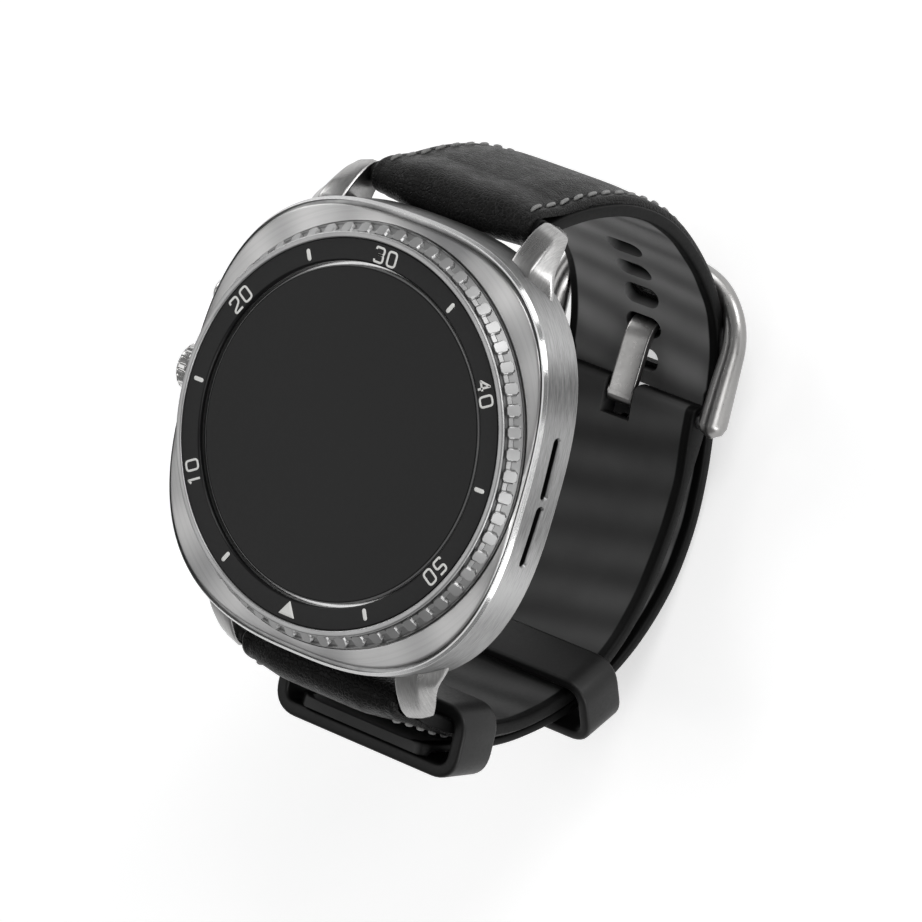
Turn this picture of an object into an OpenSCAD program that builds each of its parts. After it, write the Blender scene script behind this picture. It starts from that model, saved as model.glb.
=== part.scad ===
// Wrist dive computer: round rotating bezel on a cushion case, closed two-piece strap with tang buckle.
// +Z leaves the display, +Y points to 12 o'clock, +X to 3 o'clock; the origin is on the wrist face.

/* [Case] */
// Half width of the case from 9 to 3 o'clock
case_half_w = 22.5; // [22.4:0.1:23]
// Half length of the case from 6 to 12 o'clock, without lugs
case_half_l = 23.3; // [23.2:0.1:24]
// Squareness of the cushion outline, where 2 is an ellipse
case_square = 2.75; // [2.6:0.05:3]
// Height of the bezel marks above the wrist face
overall_h = 12.6; // [12.6:0.1:13]
// Height of the lower edge of the brushed side band
band_low_z = 4.5; // [4.2:0.1:4.8]
// Height of the upper edge of the brushed side band
band_top_z = 9.3; // [9.2:0.1:9.4]
// Length of each speaker slot
slot_l = 6.2; // [5:0.1:6.4]
// Width of each speaker slot
slot_w = 0.7; // [0.5:0.1:0.9]

/* [Lugs and strap] */
// Gap between each pair of lugs, the strap's fitting width
lug_gap = 22; // [22:0.1:22.4]
// Reach of the lug tips from the case centre
lug_reach = 26.2; // [26:0.1:26.6]
// Width of the strap at the buckle
strap_w_buckle = 20; // [19:0.1:20]
// Thickness of the long strap
strap_t = 2.2; // [2:0.1:2.3]
// Thickness of the short strap
short_t = 1.9; // [1.7:0.1:2]
// Thickness of the rubber lining under the leather
lining_t = 1.3; // [1.1:0.1:1.4]
// Spacing of the holes in the long strap
hole_pitch = 4; // [3.8:0.1:4.2]

/* [Bezel] */
// Outer radius of the rotating bezel
bezel_r = 21.5; // [21.3:0.1:21.5]
// Number of grip teeth around the bezel
tooth_count = 60; // [48:12:60]
// Outer radius of the black insert
insert_out_r = 19.75; // [19.6:0.05:19.75]
// Inner radius of the black insert
insert_in_r = 17.45; // [17.45:0.05:17.6]
// Radius of the circle through the marks
mark_r = 18.5; // [18.4:0.05:18.6]

/* [Crown and button] */
// Radius of the crown
crown_r = 2.6; // [2.4:0.1:2.6]
// Reach of the crown from the case centre
crown_reach = 24.3; // [24.2:0.1:25]
// Travel of the crown and of the side button
press_travel = 0.5; // [0.4:0.1:0.5]
// Distance of the side button from the crown, towards 6 o'clock
button_y = -8.4; // [-8.6:0.1:-8.2]

/* [Buckle] */
// Radius of the round bar that the buckle frame is bent from
frame_bar_r = 0.85; // [0.7:0.05:0.85]
// Distance of the frame's arms from the strap's centre line
arm_x = 12; // [11.9:0.1:12.3]
// Width of the tang
tang_w = 3; // [2.4:0.1:3.1]

/* [Hidden] */

$fn = 72;
eps = 0.01;
steel = [0.72, 0.71, 0.70];
dark_steel = [0.45, 0.45, 0.46];
black = [0.07, 0.07, 0.08];
rubber = [0.13, 0.13, 0.13];
outline_steps = 96;

// Heights of the stacked pieces, from the wrist face up
plate_low_z = 0.9;
body_low_z = 1.9;
deck_low_z = 3.1;
cavity_top_z = 8.9;
pocket_z = 9.4;
deck_z = 10;
bezel_low_z = 10.25;
bezel_lip_z = 11.45;
insert_z = 12;
neck_top_z = 11.3;
crystal_top_z = 12.1;

// Radii shared by pieces that fit each other
neck_r = 19;
bezel_clear = 0.05;
cavity_r = 18.4;
crystal_seat_r = 16.5;
back_open_r = 14.6;
screw_ring_r = 16.1;
side_z = overall_h - 5.66;
slot_step = (slot_l + 0.85) / 2;
crown_stem_r = 0.8;
button_stem_r = 0.6;
pocket_face_x = 21.8;
crown_low_x = pocket_face_x + press_travel + 0.4;

// Seat ring outline, just inside the case outline
seat_half_w = case_half_w - 0.75;
seat_half_l = case_half_l - 0.9;
groove_w = 0.12;
groove_l = 0.45;

// Spring bars that hold the strap between the lugs
bar_y = 25;
bar_z = 3;
bar_r = 0.75;
bar_tip_r = 0.4;
strap_eye_r = 1.65;

// Hinge line of the buckle
hinge_y = -6.5;
hinge_z = -36.4;
hinge_eye_r = 1.75;

// Centre line of the long strap as [y, z], from the 6 o'clock bar under the wrist to the tail's tip
long_route = [[-bar_y, bar_z], [-26.7, -1.2], [-28.1, -7], [-28.5, -13.5], [-27.2, -20.8], [-23.7, -28.1],
    [-18.9, -34.2], [-13.4, -37.6], [-6.5, -39.6], [0, -41.1], [6.4, -41.5], [13, -40.2],
    [19.7, -36.4], [25.2, -30.3], [28.8, -22.2], [30.3, -14.4], [30.8, -5.2]];
// Centre line of the short strap as [y, z], from the 12 o'clock bar to the buckle's hinge line
short_route = [[bar_y, bar_z], [26.7, -1.2], [27.9, -7], [28.2, -13.5], [27.1, -20.6], [23.6, -28.6],
    [18.8, -33.4], [13.3, -36], [6.5, -37.3], [0.3, -37.4], [-6.5, -36.4]];
route_steps = 5;

// Buckle frame arm as [y, z], from the front bar back to the hinge line
arm_route = [[-22.05, -34.15], [-20.8, -35.3], [-18.7, -35.9], [-16, -36.2], [-11, -36.3], [hinge_y, hinge_z]];
// Tang as [y, z], from the hinge line through the strap hole to its tip on the front bar
tang_route = [[hinge_y, hinge_z], [-9.5, -36], [-12.8, -35.8], [-14.4, -36.5], [-15.24, -37.95],
    [-17, -38.5], [-19.8, -37.9], [-22.2, -36.5], [-23.7, -34.7]];
tang_t = 0.8;

// Digits as strokes on a grid one unit wide and one unit tall, scaled to digit_w and digit_h
digit_w = 1.3;
digit_h = 1.7;
stroke_w = 0.24;
mark_h = 0.12;
digit_strokes = [
    [[[0, 0], [1, 0], [1, 1], [0, 1], [0, 0]]],
    [[[0.3, 0.8], [0.6, 1], [0.6, 0]]],
    [[[0, 1], [1, 1], [1, 0.55], [0, 0.25], [0, 0], [1, 0]]],
    [[[0, 1], [1, 1], [1, 0.5], [0.3, 0.5]], [[1, 0.5], [1, 0], [0, 0]]],
    [[[0.75, 0], [0.75, 1], [0, 0.3], [1, 0.3]]],
    [[[1, 1], [0, 1], [0, 0.55], [1, 0.55], [1, 0], [0, 0]]]];

// ---- Shape helpers ----

function superellipse(a, b) = [for (i = [0:outline_steps - 1])
    let (t = 360 * i / outline_steps, c = cos(t), s = sin(t))
        [a * sign(c) * pow(abs(c), 2 / case_square), b * sign(s) * pow(abs(s), 2 / case_square)]];

function spline_point(p, i, t) = let (
    a = p[max(i - 1, 0)], b = p[i], c = p[i + 1], d = p[min(i + 2, len(p) - 1)])
    0.5 * (2 * b + (c - a) * t + (2 * a - 5 * b + 4 * c - d) * t * t + (3 * b - a - 3 * c + d) * t * t * t);

function spline(p) = concat(
    [for (i = [0:len(p) - 2]) for (k = [0:route_steps - 1]) spline_point(p, i, k / route_steps)],
    [p[len(p) - 1]]);

function unit(v) = v / norm(v);

function side_of(p, i) = let (d = unit(p[min(i + 1, len(p) - 1)] - p[max(i - 1, 0)])) [d[1], -d[0]];

// Closed outline of the stretch of a route between two indices, from offset lo to offset hi
function band(p, lo, hi, flip) = concat(
    [for (i = [0:len(p) - 1]) p[i] + side_of(p, i) * flip * lo[i]],
    [for (i = [len(p) - 1:-1:0]) p[i] + side_of(p, i) * flip * hi[i]]);

module slab(a, b, z0, z1)
    translate([0, 0, z0]) linear_extrude(z1 - z0) polygon(superellipse(a, b));

module loft(a0, b0, z0, a1, b1, z1) hull() {
    slab(a0, b0, z0, z0 + eps);
    slab(a1, b1, z1 - eps, z1);
}

module disc(r, z0, z1) translate([0, 0, z0]) cylinder(h = z1 - z0, r = r);

module ring(r0, r1, z0, z1) difference() {
    disc(r1, z0, z1);
    disc(r0, z0 - 1, z1 + 1);
}

module rod_x(r, x0, x1, y, z) translate([x0, y, z]) rotate([0, 90, 0]) cylinder(h = x1 - x0, r = r);

module tube_x(r0, r1, x0, x1, y, z) difference() {
    rod_x(r1, x0, x1, y, z);
    rod_x(r0, x0 - 1, x1 + 1, y, z);
}

module block(x0, x1, y0, y1, z0, z1) translate([x0, y0, z0]) cube([x1 - x0, y1 - y0, z1 - z0]);

// A side outline given as [y, z], extruded along X about the strap's centre plane
module side_extrude(w) translate([-w / 2, 0, 0]) rotate([90, 0, 90]) linear_extrude(w) children();

// A front outline given as [x, z], extruded along Y
module front_extrude(y0, y1) translate([0, y1, 0]) rotate([90, 0, 0]) linear_extrude(y1 - y0) children();

// ---- Case ----

module lug() intersection() {
    side_extrude(40) polygon([[17, 3], [17, 8], [21.6, 7.4], [23.6, 6.2], [25.4, 4.6], [lug_reach, 3.1],
        [lug_reach, 2.3], [25.6, 1.6], [24.4, 1.4], [21, 2.4]]);
    linear_extrude(12) polygon([[lug_gap / 2, 16], [lug_gap / 2, 30], [12.6, 30], [14.2, 25.6],
        [14.8, 24.4], [16.8, 18.2], [16.8, 16]]);
    front_extrude(15, 30) polygon([[lug_gap / 2, 9], [14, 9], [17, 6.6], [13.4, 1], [lug_gap / 2, 1]]);
}

module speaker_slot(y) {
    block(-24, -17, y - (slot_l - slot_w) / 2, y + (slot_l - slot_w) / 2, side_z - slot_w / 2, side_z + slot_w / 2);
    for (end = [-1, 1]) rod_x(slot_w / 2, -24, -17, y + end * (slot_l - slot_w) / 2, side_z);
}

module mid_case() color(steel) difference() {
    union() {
        difference() {
            union() {
                loft(case_half_w - 2.9, case_half_l - 3.1, body_low_z, case_half_w, case_half_l, band_low_z);
                loft(case_half_w, case_half_l, band_low_z, case_half_w - 0.35, case_half_l - 0.1, band_top_z);
                loft(case_half_w - 0.35, case_half_l - 0.1, band_top_z,
                    case_half_w - 0.6, case_half_l - 0.4, deck_z);
            }
            slab(seat_half_w + groove_w, seat_half_l + groove_l, pocket_z, overall_h);
        }
        disc(neck_r, cavity_top_z, neck_top_z);
        for (end = [0, 180]) rotate([0, 0, end]) for (side = [0, 1]) mirror([side, 0, 0]) lug();
    }
    disc(back_open_r, 0, deck_low_z + 1);
    disc(cavity_r, deck_low_z, cavity_top_z);
    disc(crystal_seat_r, deck_low_z, overall_h);
    ring(neck_r - 0.3, neck_r + 1, 10.65, 11.05);
    for (a = [45:90:315]) rotate([0, 0, a]) translate([screw_ring_r, 0, 0]) disc(0.5, 0, 2.9);
    for (end = [-1, 1]) speaker_slot(end * slot_step);
    block(-18.2, -15, -7.6, 7.6, 5.8, 8.1);
    rod_x(1.5, 16, 23, 0, side_z);
    rod_x(crown_r + 0.3, pocket_face_x, 26, 0, side_z);
    rod_x(button_stem_r + 0.05, 15, 22, button_y, side_z);
    rod_x(1.75, 19.9, 26, button_y, side_z);
    rod_x(1.65, 15, 19.5, 9, side_z);
    rod_x(0.5, 15, 26, 9, side_z);
    for (end = [-1, 1]) rod_x(bar_tip_r + 0.05, -12.7, 12.7, end * bar_y, bar_z);
}

module seat_ring() color(steel) difference() {
    slab(seat_half_w, seat_half_l, pocket_z, bezel_low_z);
    disc(bezel_r + 0.1, 10.05, overall_h);
    disc(neck_r + 0.05, 0, overall_h);
}

module case_back() color(dark_steel) difference() {
    union() {
        disc(17.6, 1.3, body_low_z);
        translate([0, 0, plate_low_z]) cylinder(h = 0.4, r1 = 17.1, r2 = 17.6);
    }
    disc(13.7, 0, 5);
    ring(14.9, 15.4, 1.6, 5);
    for (a = [45:90:315]) rotate([0, 0, a]) translate([screw_ring_r, 0, 0]) {
        disc(0.5, 0, 5);
        disc(0.95, 0, 1.35);
    }
}

module sensor_window() color([0.05, 0.05, 0.06]) rotate_extrude()
    polygon([[0, 0], [9, 0], [11.2, 0.15], [12.8, 0.45], [13.65, 0.95], [13.65, 1.8], [12.9, 1.8],
        [12.9, 1], [0, 1]]);

module case_back_screws() color(steel)
    for (a = [45:90:315]) rotate([0, 0, a]) translate([screw_ring_r, 0, 0]) difference() {
        union() {
            disc(0.9, plate_low_z, 1.35);
            disc(0.48, 1.3, 2.85);
        }
        translate([0, 0, 1.15]) cube([1.3, 0.25, 0.8], center = true);
    }

module case_back_gasket() color(black) ring(14.92, 15.38, 1.6, body_low_z);

module crystal() color([0.2, 0.2, 0.22]) {
    disc(16.4, 10.9, 11.56);
    disc(17.1, 11.56, 11.98);
    translate([0, 0, 11.98]) cylinder(h = crystal_top_z - 11.98, r1 = 17.1, r2 = 17);
}

module crystal_gasket() color(black) ring(16.5, 17.1, neck_top_z, 11.56);

module display_panel() color(black) {
    disc(16.2, 10, 10.85);
    block(-4, 4, -14, -8, 9.6, 10);
}

module inner_frame() color([0.2, 0.2, 0.21]) difference() {
    ring(17.5, 18.3, 3.2, 8.8);
    block(-20, -12, -8, 8, 4.6, 9);
    block(12, 20, -12, 13, 4.6, 9);
}

module main_board() color([0.05, 0.25, 0.15]) {
    difference() {
        disc(17.3, 7.2, 7.9);
        block(-20, -12.6, -8, 8, 6, 9);
        block(12.4, 20, -12, 13, 6, 9);
    }
    block(-8, 0, 2, 10, 7.9, 8.7);
    block(3, 10, -9, -1, 7.9, 8.6);
    block(-7, -1, -11, -5, 7.9, 8.5);
}

module battery() color([0.35, 0.36, 0.38]) {
    block(-10, 10, -11, 11, 3.2, 6.6);
    block(-3, 3, -12.5, -11, 4.4, 5.4);
}

module charging_coil() color([0.72, 0.4, 0.2]) ring(9.6, 12.6, 1.05, 1.4);

module sensor_board() color([0.05, 0.25, 0.15]) {
    disc(8.8, 1.05, 1.6);
    for (a = [0:90:270]) rotate([0, 0, a]) translate([5, 0, 0]) disc(1, 1.6, 2.2);
}

module speaker() color([0.16, 0.16, 0.17]) {
    block(-17, -13, -7, 7, 5.2, 8.6);
    block(-17.25, -17, -5.5, 5.5, 6.2, 7.8);
}

module speaker_mesh() color([0.1, 0.1, 0.1]) difference() {
    block(-18.05, -17.35, -7.4, 7.4, 5.9, 8);
    for (y = [-6.6:0.6:6.6]) rod_x(0.16, -19, -17, y, side_z);
}

module vibration_motor() color(steel) rod_x(1.7, -5, 3, 13.4, 5.2);

module pressure_sensor() color([0.8, 0.78, 0.72]) {
    rod_x(1.62, 16.6, 19.4, 9, side_z);
    rod_x(1.4, 14.4, 16.6, 9, side_z);
}

// ---- Bezel ----

module bezel_snap_wire() color(steel) difference() {
    rotate_extrude() translate([neck_r + 0.02, 10.85]) circle(r = 0.18, $fn = 24);
    block(-1, 1, neck_r - 2, neck_r + 2, 10, 12);
}

module bezel_click_ring() color(steel) {
    ring(19.3, 20.9, 10.06, 10.14);
    for (a = [30:120:270]) rotate([0, 0, a]) translate([20.1, 0, 0]) disc(0.3, 10.14, 10.2);
}

module bezel_ring() color(steel) difference() {
    rotate_extrude() polygon([[neck_r + bezel_clear, bezel_low_z], [bezel_r, bezel_low_z], [bezel_r, 10.5],
        [21.35, 10.62], [20.4, 11.62], [20.05, 11.9], [20.15, 12.15], [20.4, 12.35], [20.35, 12.6], [20.2, 12.65],
        [19.9, 12.65], [insert_out_r, 12.5], [insert_out_r, insert_z], [17.35, insert_z],
        [17.35, bezel_lip_z], [neck_r + bezel_clear, bezel_lip_z]]);
    ring(neck_r - 1, neck_r + 0.4, 10.6, 11.1);
    for (i = [0:tooth_count - 1]) rotate([0, 0, (i + 0.5) * 360 / tooth_count])
        translate([20.95, 0, 11.2]) rotate([0, 46, 0]) cube([2.6, 0.95, 0.6], center = true);
}

module bezel_insert() color(black) difference() {
    ring(insert_in_r, insert_out_r - 0.02, insert_z, overall_h - mark_h / 2);
    for (i = [0:5]) tick_at(60 * i + 30, 0.02, overall_h - mark_h);
    triangle_mark(0.02, overall_h - mark_h);
}

module tick_at(a, grow, z) rotate([0, 0, -a]) translate([0, 0, z]) linear_extrude(mark_h) {
    translate([-0.22 - grow, mark_r - 0.4]) square([0.44 + 2 * grow, 0.8]);
    for (end = [-1, 1]) translate([0, mark_r + end * 0.4]) circle(r = 0.22 + grow, $fn = 24);
}

module triangle_mark(grow, z) translate([0, 0, z]) linear_extrude(mark_h)
    polygon([[0, mark_r - 0.85 - grow * 2], [1.05 + grow * 2, mark_r + 0.75 + grow],
        [-1.05 - grow * 2, mark_r + 0.75 + grow]]);

module bezel_ticks() color([0.85, 0.85, 0.83]) {
    for (i = [0:5]) tick_at(60 * i + 30, 0, overall_h - mark_h);
    triangle_mark(0, overall_h - mark_h);
}

module stroke(p, q) {
    d = q - p;
    translate(p) rotate([0, 0, atan2(d[1], d[0])]) translate([-stroke_w / 2, -stroke_w / 2])
        square([norm(d) + stroke_w, stroke_w]);
}

module digit(n) for (line = digit_strokes[n]) for (i = [0:len(line) - 2])
    stroke([(line[i][0] - 0.5) * (digit_w - stroke_w), (line[i][1] - 0.5) * (digit_h - stroke_w)],
        [(line[i + 1][0] - 0.5) * (digit_w - stroke_w), (line[i + 1][1] - 0.5) * (digit_h - stroke_w)]);

module bezel_numerals() color([0.85, 0.85, 0.83])
    for (i = [1:5]) rotate([0, 0, -60 * i]) translate([0, mark_r, overall_h - mark_h / 2])
        linear_extrude(mark_h / 2) {
            translate([-0.8, 0]) digit(i);
            translate([0.8, 0]) digit(0);
        }

// ---- Crown and side button ----

module crown_tube() color(steel) tube_x(crown_stem_r + 0.45, 1.5, 18.3, 22.1, 0, side_z);

module crown_spring() color(steel) tube_x(crown_stem_r + 0.08, crown_stem_r + 0.4, 18.4, 19.4, 0, side_z);

module crown_stem() color(steel) difference() {
    union() {
        rod_x(crown_stem_r, 17.9, 23.6, 0, side_z);
        rod_x(1.4, 17.6, 17.9, 0, side_z);
    }
    tube_x(crown_stem_r - 0.2, crown_stem_r + 1, 20.3, 20.9, 0, side_z);
}

module crown_seal() color(black) tube_x(crown_stem_r - 0.19, crown_stem_r + 0.42, 20.32, 20.88, 0, side_z);

module crown_cap() color(steel) difference() {
    union() {
        rod_x(crown_r, crown_low_x, crown_reach - 0.3, 0, side_z);
        translate([crown_reach - 0.3, 0, side_z]) rotate([0, 90, 0])
            cylinder(h = 0.3, r1 = crown_r, r2 = crown_r - 0.3);
    }
    rod_x(crown_stem_r + 0.05, 22, 23.65, 0, side_z);
    for (a = [0:15:345]) translate([0, 0, side_z]) rotate([a, 0, 0]) translate([22.6, 0, crown_r + 0.06])
        rod_x(0.16, 0, 1.3, 0, 0);
}

module side_button() color(steel) difference() {
    union() {
        rod_x(1.6, 21.1, 22.7, button_y, side_z);
        translate([22.7, button_y, side_z]) rotate([0, 90, 0]) cylinder(h = 0.25, r1 = 1.6, r2 = 1.35);
        rod_x(button_stem_r, 15.2, 21.1, button_y, side_z);
    }
    tube_x(button_stem_r - 0.15, 1, 15.5, 15.75, button_y, side_z);
    tube_x(button_stem_r - 0.15, 1, 17.6, 18, button_y, side_z);
}

module button_spring() color(steel) tube_x(button_stem_r + 0.2, 1.4, 19.95, 20.5, button_y, side_z);

module button_seal() color(black)
    tube_x(button_stem_r - 0.14, button_stem_r + 0.04, 17.62, 17.98, button_y, side_z);

module button_clip() color(dark_steel) tube_x(button_stem_r - 0.14, 1.1, 15.52, 15.73, button_y, side_z);

// ---- Strap ----

module strap_bar(half_l, y, z) {
    rod_x(bar_r, -half_l, half_l, y, z);
    rod_x(bar_tip_r, -half_l - 1.6, half_l + 1.6, y, z);
}

module spring_bar_12() color(steel) strap_bar(10.9, bar_y, bar_z);
module spring_bar_6() color(steel) strap_bar(10.9, -bar_y, bar_z);
module buckle_spring_bar() color(steel) strap_bar(10.6, hinge_y, hinge_z);

long_line = spline(long_route);
short_line = spline(short_route);
tail_from = 11 * route_steps;

// Thickness of the long strap, thinning along the tail
function long_t(i) = i < tail_from ? strap_t : max(1.4, strap_t - 0.045 * (i - tail_from));
long_inner = [for (i = [0:len(long_line) - 1]) -long_t(i) / 2];
long_split = [for (i = [0:len(long_line) - 1]) -long_t(i) / 2 + long_t(i) * lining_t / strap_t];
long_outer = [for (i = [0:len(long_line) - 1]) long_t(i) / 2];
short_inner = [for (p = short_line) -short_t / 2];
short_split = [for (p = short_line) -short_t / 2 + lining_t];
short_outer = [for (p = short_line) short_t / 2];

// Plan of the strap: full width at the lugs, tapering to the buckle and on to the tip
module long_envelope(inset) {
    front_extrude(-45, -10) polygon([[lug_gap / 2 - 0.2 - inset, 8], [lug_gap / 2 - 0.2 - inset, 0],
        [strap_w_buckle / 2 - inset, -34], [strap_w_buckle / 2 - inset, -45], [inset - strap_w_buckle / 2, -45],
        [inset - strap_w_buckle / 2, -34], [inset + 0.2 - lug_gap / 2, 0], [inset + 0.2 - lug_gap / 2, 8]]);
    front_extrude(-10, 40) polygon([[strap_w_buckle / 2 - inset, -45], [9.2 - inset, -24], [8.7 - inset, -8.6],
        [8.5 - inset, -6.2], [7.4 - inset, -5.2 - inset], [inset - 7.4, -5.2 - inset], [inset - 8.5, -6.2],
        [inset - 8.7, -8.6], [inset - 9.2, -24], [inset - strap_w_buckle / 2, -45]]);
}

module short_envelope(inset) front_extrude(-10, 40) polygon([[lug_gap / 2 - 0.2 - inset, 8],
    [lug_gap / 2 - 0.2 - inset, 0], [strap_w_buckle / 2 - inset, -34], [strap_w_buckle / 2 - inset, -45],
    [inset - strap_w_buckle / 2, -45], [inset - strap_w_buckle / 2, -34], [inset + 0.2 - lug_gap / 2, 0],
    [inset + 0.2 - lug_gap / 2, 8]]);

// Length of a centre line up to an index, and the first index at or past a length
function run(p, i) = i == 0 ? 0 : run(p, i - 1) + norm(p[i] - p[i - 1]);
function index_at(p, s, i = 1) = run(p, i) >= s ? i : index_at(p, s, i + 1);

// One oblong hole through the long strap, centred at a length along its route
module strap_hole(s) {
    i = index_at(long_line, s);
    step = long_line[i] - long_line[i - 1];
    spot = long_line[i] + step * (s - run(long_line, i)) / norm(step);
    d = long_line[i + 1] - long_line[i - 1];
    translate([0, spot[0], spot[1]]) rotate([atan2(d[1], d[0]), 0, 0]) {
        cube([2.2, 2.5, 6], center = true);
        for (end = [-1, 1]) translate([end * 1.1, 0, -3]) cylinder(h = 6, r = 1.25);
    }
}

tang_hole_run = run(long_line, 34);

module long_holes() for (k = [-3:4]) strap_hole(tang_hole_run + k * hole_pitch);

module long_strap_lining() color(rubber) difference() {
    union() {
        intersection() {
            side_extrude(30) polygon(band(long_line, long_inner, long_split, 1));
            long_envelope(0);
        }
        rod_x(strap_eye_r, 0.2 - lug_gap / 2, lug_gap / 2 - 0.2, -bar_y, bar_z);
    }
    rod_x(bar_r + 0.05, -15, 15, -bar_y, bar_z);
    long_holes();
}

module long_strap_leather() color(black) difference() {
    intersection() {
        side_extrude(30) polygon(band(long_line, long_split, long_outer, 1));
        long_envelope(0.5);
    }
    rod_x(strap_eye_r, -15, 15, -bar_y, bar_z);
    long_holes();
}

module tang_slot() block(-tang_w / 2 - 0.3, tang_w / 2 + 0.3, hinge_y - 3, hinge_y + 2.6, hinge_z - 4, hinge_z + 4);

module short_strap_lining() color(rubber) difference() {
    union() {
        intersection() {
            side_extrude(30) polygon(band(short_line, short_inner, short_split, -1));
            short_envelope(0);
        }
        rod_x(strap_eye_r, 0.2 - lug_gap / 2, lug_gap / 2 - 0.2, bar_y, bar_z);
        rod_x(hinge_eye_r, -strap_w_buckle / 2, strap_w_buckle / 2, hinge_y, hinge_z);
    }
    rod_x(bar_r + 0.05, -15, 15, bar_y, bar_z);
    rod_x(bar_r + 0.05, -15, 15, hinge_y, hinge_z);
    tang_slot();
}

module short_strap_leather() color(black) difference() {
    intersection() {
        side_extrude(30) polygon(band(short_line, short_split, short_outer, -1));
        short_envelope(0.5);
    }
    rod_x(strap_eye_r, -15, 15, bar_y, bar_z);
    rod_x(hinge_eye_r, -15, 15, hinge_y, hinge_z);
    tang_slot();
}

// A rubber loop around both straps, given its inner and outer half sizes and length
module keeper(in_w, in_t, wall, l) difference() {
    chamfered_block(in_w + wall, in_t + wall, l);
    cube([2 * in_w, 2 * in_t, l + 1], center = true);
}

// A block with its four long edges cut at 45 degrees
module chamfered_block(w, t, l) translate([0, 0, -l / 2]) linear_extrude(l)
    polygon([[w, t - 1.2], [w - 1.2, t], [1.2 - w, t], [-w, t - 1.2], [-w, 1.2 - t], [1.2 - w, -t],
        [w - 1.2, -t], [w, 1.2 - t]]);

module fixed_keeper() color(rubber)
    translate([-0.3, 28.9, -8.6]) rotate([-4, 0, 0]) keeper(11, 2.75, 1, 5.8);

module loose_keeper() color(rubber)
    translate([0, 24.2, -29.5]) rotate([-34, 0, 0]) keeper(11.3, 2.65, 1.2, 5.6);

// ---- Buckle ----

arm_line = spline(arm_route);

// Half height of the frame's arm, swelling towards its eye
function arm_half(i) = frame_bar_r + 0.35 * i / (len(arm_line) - 1);
arm_low = [for (i = [0:len(arm_line) - 1]) -arm_half(i)];
arm_high = [for (i = [0:len(arm_line) - 1]) arm_half(i)];

module arm() translate([arm_x, 0, 0]) side_extrude(2 * frame_bar_r)
    polygon(band(arm_line, arm_low, arm_high, 1));

module buckle_frame() color(steel) difference() {
    union() {
        rod_x(frame_bar_r, -arm_x - frame_bar_r, arm_x + frame_bar_r, arm_route[0][0], arm_route[0][1]);
        for (side = [0, 1]) mirror([side, 0, 0]) {
            arm();
            rod_x(1.4, arm_x - 1, arm_x + 0.95, hinge_y, hinge_z);
        }
    }
    rod_x(bar_tip_r + 0.05, -arm_x - 0.3, arm_x + 0.3, hinge_y, hinge_z);
}

tang_line = spline(tang_route);
tang_half = [for (i = [0:len(tang_line) - 1]) tang_t / 2];
tang_back = [for (i = [0:len(tang_line) - 1]) -tang_t / 2];

module buckle_tang() color(steel) difference() {
    union() {
        side_extrude(tang_w) polygon(band(tang_line, tang_back, tang_half, 1));
        rod_x(1.3, -tang_w / 2, tang_w / 2, hinge_y, hinge_z);
    }
    rod_x(bar_r + 0.05, -5, 5, hinge_y, hinge_z);
}

mid_case();
seat_ring();
case_back();
sensor_window();
case_back_screws();
case_back_gasket();
crystal();
crystal_gasket();
display_panel();
inner_frame();
main_board();
battery();
charging_coil();
sensor_board();
speaker();
speaker_mesh();
vibration_motor();
pressure_sensor();
bezel_snap_wire();
bezel_click_ring();
bezel_ring();
bezel_insert();
bezel_ticks();
bezel_numerals();
crown_tube();
crown_spring();
crown_stem();
crown_seal();
crown_cap();
side_button();
button_spring();
button_seal();
button_clip();
spring_bar_12();
spring_bar_6();
buckle_spring_bar();
long_strap_lining();
long_strap_leather();
short_strap_lining();
short_strap_leather();
fixed_keeper();
loose_keeper();
buckle_frame();
buckle_tang();
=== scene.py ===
"""Looks of a wrist dive computer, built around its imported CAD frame. Lengths below are in mm."""
import math

import bmesh
import bpy
import numpy as np
from mathutils import Matrix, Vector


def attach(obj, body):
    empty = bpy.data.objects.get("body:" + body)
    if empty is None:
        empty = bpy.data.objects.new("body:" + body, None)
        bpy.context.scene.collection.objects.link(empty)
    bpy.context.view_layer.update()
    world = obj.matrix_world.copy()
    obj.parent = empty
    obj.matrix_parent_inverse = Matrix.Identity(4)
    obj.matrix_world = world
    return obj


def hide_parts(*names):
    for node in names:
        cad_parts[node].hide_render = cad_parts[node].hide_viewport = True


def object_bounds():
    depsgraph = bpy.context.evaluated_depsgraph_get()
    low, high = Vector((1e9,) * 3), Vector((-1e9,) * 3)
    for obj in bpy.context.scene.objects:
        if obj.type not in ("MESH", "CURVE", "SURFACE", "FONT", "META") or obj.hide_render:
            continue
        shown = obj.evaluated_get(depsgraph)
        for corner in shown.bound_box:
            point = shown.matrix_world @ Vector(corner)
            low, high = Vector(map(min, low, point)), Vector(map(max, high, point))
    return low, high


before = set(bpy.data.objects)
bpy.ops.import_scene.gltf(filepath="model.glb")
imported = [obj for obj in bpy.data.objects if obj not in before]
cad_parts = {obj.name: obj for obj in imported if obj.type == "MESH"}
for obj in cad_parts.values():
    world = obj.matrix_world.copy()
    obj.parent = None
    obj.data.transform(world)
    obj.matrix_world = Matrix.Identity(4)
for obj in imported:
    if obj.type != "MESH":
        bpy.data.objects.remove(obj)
cad_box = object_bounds()

MM = 0.001
TAU = 2 * math.pi

# Places and sizes shared by several pieces
CASE_SQUARE = 2.75  # power of the case's rounded square outline
CIRCLE = 2.0  # the same power for a circle
SIDE_Z = 6.94  # height of the crown, the button and the slots
WALL_X, WALL_Y = 22.355, 23.26  # half width and half length of the case at that height
SLOT_L, SLOT_W, SLOT_Y = 6.2, 0.9, 3.525  # a speaker slot; the CAD's are 0.7 wide
BUTTON_Y = -8.4
MARK_R = 18.5  # middle of the ring of numbers and ticks
TOOTH_COUNT = 60

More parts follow.
